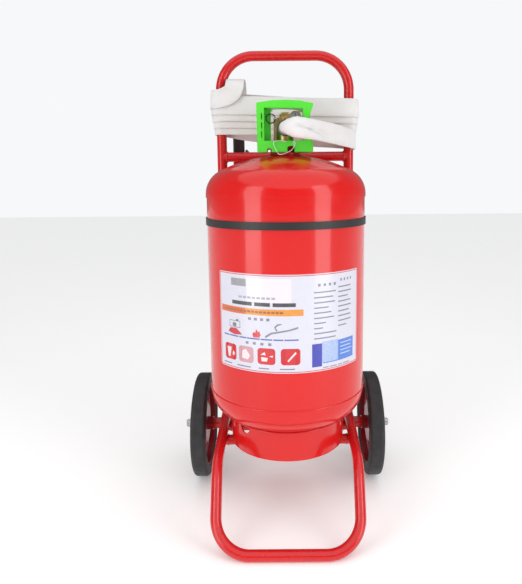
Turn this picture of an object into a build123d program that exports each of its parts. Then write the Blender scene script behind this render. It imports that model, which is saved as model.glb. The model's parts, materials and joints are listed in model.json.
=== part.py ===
"""Wheeled dry-powder fire extinguisher: steel tank on a two-wheeled tube frame.

Millimetres, +Z up. The tank's axis is the Z axis, the floor is z = 0 and the front
(foot bar, label, valve outlet) faces -Y. The wheels stand as far behind the axis as
the foot bar stands in front of it, so the origin is the middle of the footprint.
"""
import os
from math import atan2, cos, radians, sin, sqrt

from build123d import *

os.makedirs("parts", exist_ok=True)

# ---- driving dimensions -------------------------------------------------------------
# tank
TANK_R = 160.0            # outside radius of the barrel
SHEET = 2.5               # steel sheet of barrel and heads
SEAM_RISE = 120.0         # lower seam, where barrel and bottom head meet, above the skirt's edge
BARREL_LENGTH = 392.0     # lower seam to the lip of the top head
CROWN_R = 300.0           # dishing radius of both heads
KNUCKLE_R = 52.0          # corner radius of both heads
HEAD_LAP = 1.5            # how far the top head stands proud of the barrel
HEAD_FLANGE = 6.0         # straight rim of a head before its knuckle
JOGGLE_LENGTH = 14.0      # necked length that slips inside the mating piece
SKIRT_R = 119.0           # base skirt, outside radius
SKIRT_WALL = 3.0
SKIRT_GAP = 11.3          # lower edge of the skirt above the axle tube
VENT_WIDTH = 30.0
VENT_HEIGHT = 20.0
VENT_COUNT = 3
NECK_R = 30.0
NECK_BORE_R = 17.0
NECK_HEIGHT = 16.0        # neck ring above the crown
SEAL_THICK = 2.0          # gasket between the neck ring and the valve
THREAD_LENGTH = 12.0
# frame
TUBE_R = 10.65            # half-inch pipe
TUBE_WALL = 2.0
CROSS_STEP = 0.15         # the tubes between posts and legs are this much slimmer than them
POST_X = 139.5            # half the distance between the two posts
HANDLE_RISE = 215.0       # grip bar above the crossbar
HANDLE_BEND_R = 72.0
CROSSBAR_RISE = 0.5       # crossbar above the tank's crown
POST_GAP = 3.06           # between the clamp band and each post
FOOT_X = 134.0            # half width of the foot between its legs
FOOT_BEND_R = 66.0
LEG_REAR_RISE = 28.5      # leg above the cradle tubes' axes where it meets the post
LEG_KNEE_Y = -112.0
LEG_KNEE_RISE = 2.5
LEG_KNEE_R = 75.0
CRADLE_Y = (-5.0, 62.0)   # the two tubes that carry the skirt
# wheels
WHEEL_R = 117.0
TYRE_WIDTH = 33.0
WHEEL_GAP = 28.85         # between a post and the tyre beside it
RIM_R = 92.0
RIM_WALL = 2.5
HUB_R = 15.0
HUB_LENGTH = 42.0
AXLE_R = 8.0
AXLE_TUBE_R = 12.7
BUSH_R = 10.5
LIGHTENING_HOLE_R = 15.0
LIGHTENING_HOLES = 6
NUT_FLATS = 24.0
NUT_HEIGHT = 11.0
WASHER_R = 15.0
WASHER_THICK = 2.0
# clamp band
BAND_DROP = 47.0          # band below the lip of the top head
BAND_HEIGHT = 14.0
BAND_THICK = 2.5
EAR_GAP = 8.0             # between the band's two ears, at the rear
EAR_REACH = 20.0
EAR_THICK = 3.0
BOLT_R = 3.0
BOLT_HEAD = 4.0
SADDLE_WIDTH = 17.0
# label
LABEL_RISE = 74.0         # above the lower seam
LABEL_HEIGHT = 184.0
LABEL_FROM = -52.0        # degrees round from the front, towards -X
LABEL_TO = 58.0
LABEL_THICK = 0.3
# valve
OUTLET_RISE = 30.5        # heights on the valve are above its seat on the seal
OUTLET_Y = -56.0          # end of the outlet boss
OUTLET_R = 11.0
OUTLET_BORE_R = 7.0
SPIGOT_R = 9.5            # narrower end of the boss, inside the coupling nut
SPIGOT_LENGTH = 14.0
NUT_R = 15.0
VALVE_R = 17.0
VALVE_FLANGE = 8.0        # hexagon at the foot of the valve
VALVE_EAR = 3.0           # thickness of each ear that holds the lever's pivot
STEM_R = 3.0
STEM_Y = 4.0
STEM_FOOT = 3.0           # stem's foot below the roof of the passage
LEVER_PIVOT_Y = -14.0
PIVOT_RISE = 57.5
LEVER_WIDTH = 14.0
LEVER_LENGTH = 62.0
PIVOT_R = 2.5
GAUGE_X = 20.0
GAUGE_RISE = 53.5
GAUGE_R = 11.5
GAUGE_FRONT_Y = -38.0
SIPHON_R = 12.5
SIPHON_GAP = 25.0         # open end of the siphon tube above the bottom of the tank
PIN_X = -19.0
PIN_RISE = 51.5
PIN_R = 1.5
RING_R = 9.0
RING_WIRE_R = 1.0
EYE_R = 3.6               # flat eye of the pin, which the ring hangs in
EYE_HALF = 1.2
# guard
GUARD_HALF = 54.0
GUARD_RISE = 3.5          # foot of the guard above the crown
GUARD_HEIGHT = 99.0
GUARD_FRONT_Y = -50.0
GUARD_DEPTH = 66.0
GUARD_POST = 14.0
GUARD_BAR = 15.0
GUARD_SILL = 22.0
GUARD_ROUND = 2.2
GUARD_CHAMFER = 1.0
SILL_ARCHES = ((-31.0, 9.0, 8.0), (11.0, 14.0, 12.0))   # middle, width, height of each arch
SLOT_COUNT = 3
SLOT_PITCH = 17.0
SLOT_LENGTH = 12.0
SLOT_WIDTH = 2.4
SLOT_DEPTH = 8.0
PANEL_WIDTH = 12.0
PANEL_THICK = 2.0
PANEL_SET_BACK = 31.0      # the panel stands behind the pin's ring
# hose and gun
HOSE_WIDTH = 40.0
HOSE_THICK = 3.5
WRAP_LAYERS = 4
WRAP_STEP = 4.0           # each turn lies this much further out
WRAP_RISE = 27.0          # wound hose above the crossbar
WRAP_HEIGHT = 110.0
LEAD_DROP = 28.0          # lower edge of the lead below the outlet
GUN_X = -106.0
GUN_Y = 152.0
GUN_RISE = 63.0           # top of the gun above the crossbar
GUN_R = 13.0
GUN_BORE_R = 6.0
GUN_LENGTH = 78.0
NOZZLE_LENGTH = 62.0
NOZZLE_BORE_R = 5.0
BALL_R = 9.5
SPINDLE_R = 3.0
GUN_LEVER_LENGTH = 58.0
GUN_FERRULE = 14.0        # length of the ferrule on top of the gun
HOLDER_HEIGHT = 14.0
HOLDER_WALL = 3.0
HOLDER_WIDTH = 16.0
TIE_R = 0.7
# clearances
RUN = 0.05                # running fit, radial
GAP = 0.3                 # between pieces that move past each other

# ---- worked-out places --------------------------------------------------------------
axle_z = WHEEL_R
skirt_z = axle_z + AXLE_TUBE_R + SKIRT_GAP
tank_seam_z = skirt_z + SEAM_RISE
lip_z = tank_seam_z + BARREL_LENGTH
head_r = TANK_R + HEAD_LAP
band_outer = TANK_R + BAND_THICK
post_y = sqrt((band_outer + POST_GAP + TUBE_R) ** 2 - POST_X**2)
axle_y = post_y
foot_reach = axle_y + WHEEL_R - TUBE_R      # the foot bar's front stands as far out as the wheels' back
wheel_x = POST_X + TUBE_R + WHEEL_GAP + TYRE_WIDTH / 2


def dish_height(radius):
    """Height of a dished head's curved part, for its outside radius."""
    return CROWN_R - sqrt((CROWN_R - KNUCKLE_R) ** 2 - (radius - KNUCKLE_R) ** 2)


def crown_drop(radius):
    """How far the crown has fallen at this distance from the axis."""
    return CROWN_R - sqrt(CROWN_R**2 - radius**2)


crown_z = lip_z + HEAD_FLANGE + dish_height(head_r)
bottom_z = tank_seam_z - HEAD_FLANGE - dish_height(TANK_R)
neck_top_z = crown_z + NECK_HEIGHT
valve_low = neck_top_z + SEAL_THICK
outlet_z = valve_low + OUTLET_RISE
pivot_z = valve_low + PIVOT_RISE
gauge_z = valve_low + GAUGE_RISE
pin_z = valve_low + PIN_RISE
guard_z = crown_z + GUARD_RISE
crossbar_z = crown_z + CROSSBAR_RISE
handle_z = crossbar_z + HANDLE_RISE
wrap_low_z = crossbar_z + WRAP_RISE
wrap_high_z = wrap_low_z + WRAP_HEIGHT
gun_top_z = crossbar_z + GUN_RISE
band_z = lip_z - BAND_DROP
cross_r = TUBE_R - CROSS_STEP
cradle_z = skirt_z - cross_r
leg_rear_z = cradle_z + LEG_REAR_RISE
leg_knee_z = cradle_z + LEG_KNEE_RISE
tube_inner_r = TUBE_R - TUBE_WALL


def save(builder, name):
    builder.part.label = name
    export_step(builder.part, f"parts/{name}.step")


def ring(name, outer_r, inner_r, low, high, plane=Plane.XY):
    """A plain collar about the plane's normal, from low to high along it."""
    with BuildPart() as collar:
        with BuildSketch(plane.offset(low)):
            Circle(outer_r)
            Circle(inner_r, mode=Mode.SUBTRACT)
        extrude(amount=high - low)
    save(collar, name)


def along_x(y, z):
    """A plane whose normal is +X, at the height and depth given."""
    return Plane(origin=(0, y, z), x_dir=(0, 1, 0), z_dir=(1, 0, 0))


def along_minus_y(x, z):
    """A plane whose normal is -Y, its x_dir along +X."""
    return Plane(origin=(x, 0, z), x_dir=(1, 0, 0), z_dir=(0, -1, 0))


# ---- tank ---------------------------------------------------------------------------
def head_outline(radius, low, sign):
    """Draws the half-section of a solid head: rim at low, crown towards sign."""
    rim = low + sign * HEAD_FLANGE
    knuckle_x = radius - KNUCKLE_R
    centre = rim - sign * (CROWN_R - dish_height(radius))
    lean = atan2(knuckle_x, abs(rim - centre))
    middle = (lean + radians(90)) / 2
    touch = (CROWN_R * sin(lean), centre + sign * CROWN_R * cos(lean))
    knuckle_mid = (knuckle_x + KNUCKLE_R * sin(middle), rim + sign * KNUCKLE_R * cos(middle))
    crown_mid = (CROWN_R * sin(lean / 2), centre + sign * CROWN_R * cos(lean / 2))
    crown = (0, centre + sign * CROWN_R)
    Polyline((0, low), (radius, low), (radius, rim))
    ThreePointArc((radius, rim), knuckle_mid, touch)
    ThreePointArc(touch, crown_mid, crown)
    Line(crown, (0, low))


def solid_head(radius, low, sign):
    with BuildPart() as head:
        with BuildSketch(Plane.XZ):
            with BuildLine():
                head_outline(radius, low, sign)
            make_face()
        revolve(axis=Axis.Z)
    return head.part


neck_rim_z = lip_z + HEAD_FLANGE - SHEET     # the barrel's necked rim, inside the top head
with BuildPart() as cylinder_barrel:
    with BuildSketch(Plane.XZ):
        with BuildLine():
            Polyline(
                (TANK_R - SHEET, tank_seam_z), (TANK_R, tank_seam_z),
                (TANK_R, lip_z), (head_r - SHEET, lip_z),
                (head_r - SHEET, neck_rim_z), (head_r - 2 * SHEET, neck_rim_z),
                (head_r - 2 * SHEET, lip_z - SHEET), (TANK_R - SHEET, lip_z - JOGGLE_LENGTH),
                close=True,
            )
        make_face()
    revolve(axis=Axis.Z)
save(cylinder_barrel, "cylinder_barrel")

with BuildPart() as top_head:
    add(solid_head(head_r, lip_z, 1))
    add(solid_head(head_r - SHEET, lip_z - SHEET, 1), mode=Mode.SUBTRACT)
    Cylinder(NECK_R, 4 * crown_z, mode=Mode.SUBTRACT)
save(top_head, "top_head")

with BuildPart() as bottom_head:
    add(solid_head(TANK_R, tank_seam_z, -1))
    add(solid_head(TANK_R - SHEET, tank_seam_z + SHEET, -1), mode=Mode.SUBTRACT)
    with BuildSketch(Plane.XY.offset(tank_seam_z - SHEET)):
        Circle(TANK_R - SHEET)
        Circle(TANK_R - 2 * SHEET, mode=Mode.SUBTRACT)
    extrude(amount=SHEET + JOGGLE_LENGTH)
save(bottom_head, "bottom_head")

skirt_top = bottom_z + crown_drop(SKIRT_R) + SHEET
with BuildPart() as base_skirt:
    with BuildSketch(Plane.XY.offset(skirt_z)):
        Circle(SKIRT_R)
        Circle(SKIRT_R - SKIRT_WALL, mode=Mode.SUBTRACT)
    extrude(amount=skirt_top - skirt_z)
    vent_floor = bottom_z + crown_drop(SKIRT_R) - VENT_HEIGHT
    for turn in range(VENT_COUNT):
        vent_angle = 224 + turn * 360 / VENT_COUNT
        spot = Plane(
            origin=(SKIRT_R * cos(radians(vent_angle)), SKIRT_R * sin(radians(vent_angle)), vent_floor),
            x_dir=(-sin(radians(vent_angle)), cos(radians(vent_angle)), 0),
            z_dir=(cos(radians(vent_angle)), sin(radians(vent_angle)), 0),
        )
        with BuildSketch(spot):
            with Locations((0, VENT_HEIGHT)):
                Ellipse(VENT_WIDTH / 2, VENT_HEIGHT)
        extrude(amount=4 * SKIRT_WALL, both=True, mode=Mode.SUBTRACT)
    add(solid_head(TANK_R, tank_seam_z, -1), mode=Mode.SUBTRACT)
save(base_skirt, "base_skirt")

with BuildPart() as neck_ring:
    with BuildSketch(Plane.XY.offset(crown_z - 2 * SHEET)):
        Circle(NECK_R)
    extrude(amount=NECK_HEIGHT + 2 * SHEET)
    chamfer(neck_ring.edges().group_by(Axis.Z)[-1], 1.5)
    with BuildSketch(Plane.XY.offset(crown_z - 2 * SHEET)):
        Circle(NECK_BORE_R)
    extrude(amount=NECK_HEIGHT + 2 * SHEET, mode=Mode.SUBTRACT)
save(neck_ring, "neck_ring")

with BuildPart() as tank_label:
    with BuildSketch(Plane.XY.offset(tank_seam_z + LABEL_RISE)):
        Circle(TANK_R + LABEL_THICK)
        Circle(TANK_R, mode=Mode.SUBTRACT)
        far = 3 * TANK_R
        edge_from, edge_to = radians(LABEL_FROM), radians(LABEL_TO)
        with BuildLine():
            Polyline(
                (0, 0), (far * sin(edge_from), -far * cos(edge_from)), (0, -far),
                (far * sin(edge_to), -far * cos(edge_to)), close=True,
            )
        make_face(mode=Mode.INTERSECT)
    extrude(amount=LABEL_HEIGHT)
save(tank_label, "tank_label")

# ---- frame --------------------------------------------------------------------------
def bent_tube(points, bends, outer_r=TUBE_R, inner_r=tube_inner_r):
    """A pipe along straight runs joined by bends of the given radii."""
    with BuildPart() as tube:
        with BuildLine() as route:
            FilletPolyline(*points, radius=bends)
        with BuildSketch(Plane(origin=route.line @ 0, z_dir=route.line % 0)):
            Circle(outer_r)
            if inner_r:
                Circle(inner_r, mode=Mode.SUBTRACT)
        sweep()
    return tube.part


def round_bar(centre, radius, half_length, inner_r=0.0):
    """A bar or tube along X through a point in the YZ plane."""
    with BuildPart() as bar:
        with BuildSketch(along_x(*centre).offset(-half_length)):
            Circle(radius)
            if inner_r:
                Circle(inner_r, mode=Mode.SUBTRACT)
        extrude(amount=2 * half_length)
    return bar.part


def straight_bar(start, end, radius):
    """A solid round bar from one point to another."""
    run = Vector(*end) - Vector(*start)
    with BuildPart() as bar:
        with BuildSketch(Plane(origin=start, z_dir=run)):
            Circle(radius)
        extrude(amount=run.length)
    return bar.part


def upright(x, y, radius, low, high):
    return straight_bar((x, y, low), (x, y, high), radius)


with BuildPart() as handle_tube:
    add(bent_tube(
        [(-POST_X, post_y, axle_z), (-POST_X, post_y, handle_z),
         (POST_X, post_y, handle_z), (POST_X, post_y, axle_z)],
        [HANDLE_BEND_R, HANDLE_BEND_R],
    ))
    add(round_bar((axle_y, axle_z), AXLE_TUBE_R, 2 * POST_X), mode=Mode.SUBTRACT)
save(handle_tube, "handle_tube")

leg_points = [
    (POST_X, post_y, leg_rear_z), (POST_X, LEG_KNEE_Y, leg_knee_z), (FOOT_X, -foot_reach, TUBE_R),
]
mirrored_leg = [(-x, y, z) for x, y, z in reversed(leg_points)]
with BuildPart() as foot_tube:
    add(bent_tube(leg_points + mirrored_leg, [LEG_KNEE_R, FOOT_BEND_R, FOOT_BEND_R, LEG_KNEE_R]))
    for side in (-1, 1):
        add(upright(side * POST_X, post_y, TUBE_R, 0, handle_z / 2), mode=Mode.SUBTRACT)
save(foot_tube, "foot_tube")

cross_spots = {"upper_crossbar": (post_y, crossbar_z)}
for index, y in enumerate(CRADLE_Y):
    cross_spots[f"cradle_tube_{index + 1}"] = (y, cradle_z)
for name, spot in cross_spots.items():
    with BuildPart() as crossbar:
        add(round_bar(spot, cross_r, POST_X, cross_r - TUBE_WALL))
        for side in (-1, 1):
            if name == "upper_crossbar":
                add(upright(side * POST_X, post_y, TUBE_R, 0, handle_z), mode=Mode.SUBTRACT)
            else:
                start, end = [(side * x, y, z) for x, y, z in leg_points[:2]]
                add(straight_bar(start, end, TUBE_R), mode=Mode.SUBTRACT)
    save(crossbar, name)

# band round the tank, with a saddle to each post and two ears drawn together by a bolt
ear_y = band_outer + EAR_REACH / 2
with BuildPart() as clamp_band:
    with BuildSketch(Plane.XY.offset(band_z - BAND_HEIGHT / 2)):
        Circle(band_outer)
        for side in (-1, 1):
            with Locations((side * (EAR_GAP + EAR_THICK) / 2, band_outer + EAR_REACH / 2 - BAND_THICK / 2)):
                Rectangle(EAR_THICK, EAR_REACH + BAND_THICK)
        Circle(TANK_R, mode=Mode.SUBTRACT)
        with Locations((0, band_outer)):
            Rectangle(EAR_GAP, 4 * BAND_THICK, mode=Mode.SUBTRACT)
    extrude(amount=BAND_HEIGHT)
    add(round_bar((ear_y, band_z), BOLT_R + GAP, 2 * EAR_GAP), mode=Mode.SUBTRACT)
save(clamp_band, "clamp_band")

for side, name in ((-1, "left"), (1, "right")):
    saddle_angle = atan2(post_y, side * POST_X)
    with BuildPart() as saddle:
        with BuildSketch(Plane(
            origin=(0, 0, band_z - BAND_HEIGHT), x_dir=(cos(saddle_angle), sin(saddle_angle), 0), z_dir=(0, 0, 1)
        )):
            reach = sqrt(post_y**2 + POST_X**2)
            with Locations(((band_outer + reach) / 2, 0)):
                Rectangle(reach - band_outer + 2, SADDLE_WIDTH)
            Circle(band_outer, mode=Mode.SUBTRACT)
            with Locations((reach, 0)):
                Circle(TUBE_R, mode=Mode.SUBTRACT)
        extrude(amount=2 * BAND_HEIGHT)
    save(saddle, f"band_saddle_{name}")


def hexagon(plane, flats, height, bore=0.0):
    """A hexagon nut or bolt head standing on the plane."""
    with BuildPart() as nut:
        with BuildSketch(plane):
            RegularPolygon(flats / 2, 6, major_radius=False)
            if bore:
                Circle(bore, mode=Mode.SUBTRACT)
        extrude(amount=height)
    return nut.part


ear_outer = EAR_GAP / 2 + EAR_THICK
with BuildPart() as band_bolt:
    add(round_bar((ear_y, band_z), BOLT_R, ear_outer + 2 * BOLT_HEAD))
    add(hexagon(along_x(ear_y, band_z).offset(-ear_outer - BOLT_HEAD), 3.4 * BOLT_R, BOLT_HEAD))
    add(hexagon(along_x(ear_y, band_z).offset(ear_outer), 3.4 * BOLT_R, BOLT_HEAD))
save(band_bolt, "band_bolt")

# ---- axle and wheels ----------------------------------------------------------------
hub_in = wheel_x - HUB_LENGTH / 2
hub_out = wheel_x + HUB_LENGTH / 2
washer_out = hub_out + GAP + WASHER_THICK
axle_end = washer_out + NUT_HEIGHT + 8
axle_spot = (axle_y, axle_z)
with BuildPart() as axle_tube:
    add(round_bar(axle_spot, AXLE_TUBE_R, hub_in - GAP, AXLE_R + GAP))
save(axle_tube, "axle_tube")
with BuildPart() as axle:
    add(round_bar(axle_spot, AXLE_R, axle_end))
    chamfer(axle.edges().filter_by(GeomType.CIRCLE), 1.2)
save(axle, "axle")

for side, name in ((-1, "left"), (1, "right")):
    wheel_plane = Plane(origin=(0, axle_y, axle_z), x_dir=(0, side, 0), z_dir=(side, 0, 0))
    half = TYRE_WIDTH / 2
    with BuildPart() as tyre:
        with BuildSketch(Plane(origin=(0, axle_y, axle_z), x_dir=(side, 0, 0), z_dir=(0, -side, 0))):
            with BuildLine():
                shoulder = 7.0
                Polyline(
                    (wheel_x - half + 4, RIM_R), (wheel_x - half, RIM_R + 5),
                    (wheel_x - half, WHEEL_R - shoulder),
                )
                ThreePointArc(
                    (wheel_x - half, WHEEL_R - shoulder),
                    (wheel_x - half + 0.29 * shoulder, WHEEL_R - 0.29 * shoulder),
                    (wheel_x - half + shoulder, WHEEL_R),
                )
                Line((wheel_x - half + shoulder, WHEEL_R), (wheel_x + half - shoulder, WHEEL_R))
                ThreePointArc(
                    (wheel_x + half - shoulder, WHEEL_R),
                    (wheel_x + half - 0.29 * shoulder, WHEEL_R - 0.29 * shoulder),
                    (wheel_x + half, WHEEL_R - shoulder),
                )
                Polyline(
                    (wheel_x + half, WHEEL_R - shoulder), (wheel_x + half, RIM_R + 5),
                    (wheel_x + half - 4, RIM_R), (wheel_x - half + 4, RIM_R),
                )
            make_face()
        revolve(axis=Axis((0, axle_y, axle_z), (1, 0, 0)))
    save(tyre, f"tyre_{name}")

    with BuildPart() as rim:
        with BuildSketch(Plane(origin=(0, axle_y, axle_z), x_dir=(side, 0, 0), z_dir=(0, -side, 0))):
            rim_half = half - 4
            well = RIM_R - RIM_WALL
            with BuildLine():
                Polyline(
                    (wheel_x - rim_half, RIM_R), (wheel_x + rim_half, RIM_R), (wheel_x + rim_half, well),
                    (wheel_x + RIM_WALL, well), (wheel_x - 8 + RIM_WALL, HUB_R + 26),
                    (wheel_x - 8 + RIM_WALL, HUB_R), (hub_out, HUB_R), (hub_out, BUSH_R),
                    (hub_in, BUSH_R), (hub_in, HUB_R), (wheel_x - 8, HUB_R),
                    (wheel_x - 8, HUB_R + 26), (wheel_x, well), (wheel_x - rim_half, well),
                    close=True,
                )
            make_face()
        revolve(axis=Axis((0, axle_y, axle_z), (1, 0, 0)))
        with BuildSketch(wheel_plane):
            with PolarLocations((HUB_R + RIM_R) / 2 + 2, LIGHTENING_HOLES):
                Circle(LIGHTENING_HOLE_R)
        extrude(amount=wheel_x + half, mode=Mode.SUBTRACT)
    save(rim, f"wheel_disc_{name}")
    ring(f"hub_bush_{name}", BUSH_R, AXLE_R + RUN, hub_in, hub_out, wheel_plane)
    ring(f"axle_washer_{name}", WASHER_R, AXLE_R, hub_out + GAP, washer_out, wheel_plane)
    with BuildPart() as axle_nut:
        add(hexagon(wheel_plane.offset(washer_out), NUT_FLATS, NUT_HEIGHT, AXLE_R))
    save(axle_nut, f"axle_nut_{name}")

# ---- valve --------------------------------------------------------------------------
valve_top = pivot_z - 9.0
lever_low = pivot_z + 1.0
EAR_HALF = LEVER_WIDTH / 2 + GAP
passage_top = outlet_z + OUTLET_R

with BuildPart() as valve_body:
    with BuildSketch(Plane.XY.offset(neck_top_z - THREAD_LENGTH)):
        Circle(NECK_BORE_R - RUN)
    extrude(amount=THREAD_LENGTH + SEAL_THICK)
    with BuildSketch(Plane.XY.offset(valve_low)):
        RegularPolygon(VALVE_R + 4, 6, major_radius=False)
    extrude(amount=VALVE_FLANGE)
    with BuildSketch(Plane.XY.offset(valve_low)):
        Circle(VALVE_R)
    extrude(amount=valve_top - valve_low - VALVE_FLANGE)
    with BuildSketch(Plane.XY.offset(valve_low)):
        Circle(VALVE_R - 4)
    extrude(amount=valve_top - valve_low)
    # outlet boss
    with BuildSketch(along_minus_y(0, outlet_z)):
        Circle(OUTLET_R)
    extrude(amount=-OUTLET_Y - SPIGOT_LENGTH)
    with BuildSketch(along_minus_y(0, outlet_z)):
        Circle(SPIGOT_R)
    extrude(amount=-OUTLET_Y)
    # gauge port
    with BuildSketch(along_x(0, gauge_z - 8).offset(0)):
        Circle(5)
    extrude(amount=GAUGE_X - 2)
    # ears that hold the lever's pivot
    for side in (-1, 1):
        with BuildSketch(along_x(0, 0).offset(side * (EAR_HALF + VALVE_EAR / 2))):
            with Locations((LEVER_PIVOT_Y, pivot_z)):
                Circle(6)
            with Locations((LEVER_PIVOT_Y, (pivot_z + valve_top) / 2 - 4)):
                Rectangle(12, pivot_z - valve_top + 8)
        extrude(amount=VALVE_EAR / 2, both=True)
    # lug for the safety pin
    with BuildSketch(Plane.XY.offset(pin_z - 4)):
        with Locations((PIN_X / 2 - 4, 0)):
            Rectangle(-PIN_X, 8)
    extrude(amount=8)
    with BuildSketch(Plane.XY.offset(valve_low)):
        with Locations((PIN_X / 2 - 4, 0)):
            Rectangle(-PIN_X, 5)
    extrude(amount=pin_z - valve_low)
    # passages
    add(upright(0, 0, OUTLET_BORE_R, neck_top_z - THREAD_LENGTH, passage_top), mode=Mode.SUBTRACT)
    with BuildSketch(along_minus_y(0, outlet_z)):
        Circle(OUTLET_BORE_R)
    extrude(amount=-OUTLET_Y, mode=Mode.SUBTRACT)
    add(upright(0, STEM_Y, STEM_R + RUN, outlet_z, pivot_z), mode=Mode.SUBTRACT)
    add(round_bar((LEVER_PIVOT_Y, pivot_z), PIVOT_R, VALVE_R), mode=Mode.SUBTRACT)
    add(
        straight_bar((PIN_X, -VALVE_R, pin_z), (PIN_X, VALVE_R, pin_z), PIN_R + RUN),
        mode=Mode.SUBTRACT,
    )
save(valve_body, "valve_body")

ring("neck_seal", NECK_R - 4, NECK_BORE_R + GAP, neck_top_z, valve_low)
ring("siphon_tube", SIPHON_R, SIPHON_R - 1.5, bottom_z + SIPHON_GAP, neck_top_z - THREAD_LENGTH)

# the stem's foot sits under the roof of the passage
stem_low = passage_top - STEM_FOOT
with BuildPart() as valve_stem:
    add(upright(0, STEM_Y, STEM_R, stem_low, lever_low - GAP))
save(valve_stem, "valve_stem")

with BuildPart() as lever_pivot:
    add(round_bar((LEVER_PIVOT_Y, pivot_z), PIVOT_R, EAR_HALF + VALVE_EAR + 1.5))
save(lever_pivot, "lever_pivot")

with BuildPart() as valve_lever:
    with BuildSketch(along_x(0, 0).offset(-LEVER_WIDTH / 2)):
        with BuildLine():
            Polyline(
                (LEVER_PIVOT_Y - 5, pivot_z), (LEVER_PIVOT_Y - 5, pivot_z + 5),
                (LEVER_PIVOT_Y + 4, pivot_z + 8), (LEVER_PIVOT_Y + LEVER_LENGTH, pivot_z + 8),
                (LEVER_PIVOT_Y + LEVER_LENGTH, pivot_z + 4), (STEM_Y + 8, pivot_z + 4),
                (STEM_Y + 6, lever_low), (STEM_Y - 6, lever_low), (LEVER_PIVOT_Y + 5, pivot_z - 3),
                (LEVER_PIVOT_Y - 3, pivot_z - 5), close=True,
            )
        make_face()
    extrude(amount=LEVER_WIDTH)
    add(round_bar((LEVER_PIVOT_Y, pivot_z), PIVOT_R + RUN, LEVER_WIDTH), mode=Mode.SUBTRACT)
save(valve_lever, "valve_lever")

# pressure gauge, facing the front
with BuildPart() as gauge_body:
    with BuildSketch(along_minus_y(GAUGE_X, gauge_z).offset(-GAUGE_FRONT_Y - 12)):
        Circle(GAUGE_R)
    extrude(amount=12)
    with BuildSketch(along_minus_y(GAUGE_X, gauge_z).offset(-GAUGE_FRONT_Y - 6)):
        Circle(GAUGE_R - 1.5)
    extrude(amount=6, mode=Mode.SUBTRACT)
    with BuildSketch(along_minus_y(GAUGE_X, gauge_z)):
        Circle(5)
    extrude(amount=-GAUGE_FRONT_Y - 12)
    add(round_bar((0, gauge_z - 8), 5, GAUGE_X - 2), mode=Mode.SUBTRACT)
save(gauge_body, "gauge_body")
ring("gauge_dial", GAUGE_R - 1.5, 1.0 + RUN, -GAUGE_FRONT_Y - 6, -GAUGE_FRONT_Y - 5,
     along_minus_y(GAUGE_X, gauge_z))
with BuildPart() as gauge_lens:
    with BuildSketch(along_minus_y(GAUGE_X, gauge_z).offset(-GAUGE_FRONT_Y - 1.5)):
        Circle(GAUGE_R - 1.5)
    extrude(amount=1)
save(gauge_lens, "gauge_lens")
with BuildPart() as gauge_needle:
    needle_plane = along_minus_y(GAUGE_X, gauge_z).offset(-GAUGE_FRONT_Y - 4)
    with BuildSketch(needle_plane):
        Circle(1.6)
        with Locations((0, GAUGE_R / 2 - 2)):
            Rectangle(0.8, GAUGE_R - 3)
    extrude(amount=0.6)
    with BuildSketch(needle_plane):
        Circle(1.0)
    extrude(amount=-1.8)
save(gauge_needle, "gauge_needle")

# safety pin with its pull ring
pin_eye_y = -VALVE_R - 8
with BuildPart() as safety_pin:
    add(straight_bar((PIN_X, pin_eye_y + 2, pin_z), (PIN_X, VALVE_R / 2, pin_z), PIN_R))
    with BuildSketch(Plane(origin=(PIN_X, pin_eye_y, pin_z))):
        Circle(EYE_R)
    extrude(amount=EYE_HALF, both=True)
    with BuildSketch(Plane(origin=(PIN_X, pin_eye_y, pin_z))):
        Circle(RING_WIRE_R + 4 * RUN)
    extrude(amount=2 * EYE_HALF, both=True, mode=Mode.SUBTRACT)
save(safety_pin, "safety_pin")

with BuildPart() as pull_ring:
    with BuildSketch(Plane(origin=(PIN_X, pin_eye_y, pin_z))):
        Circle(RING_WIRE_R)
    revolve(axis=Axis((PIN_X - RING_R, pin_eye_y, pin_z), (0, 1, 0)))
save(pull_ring, "pull_ring")

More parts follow.
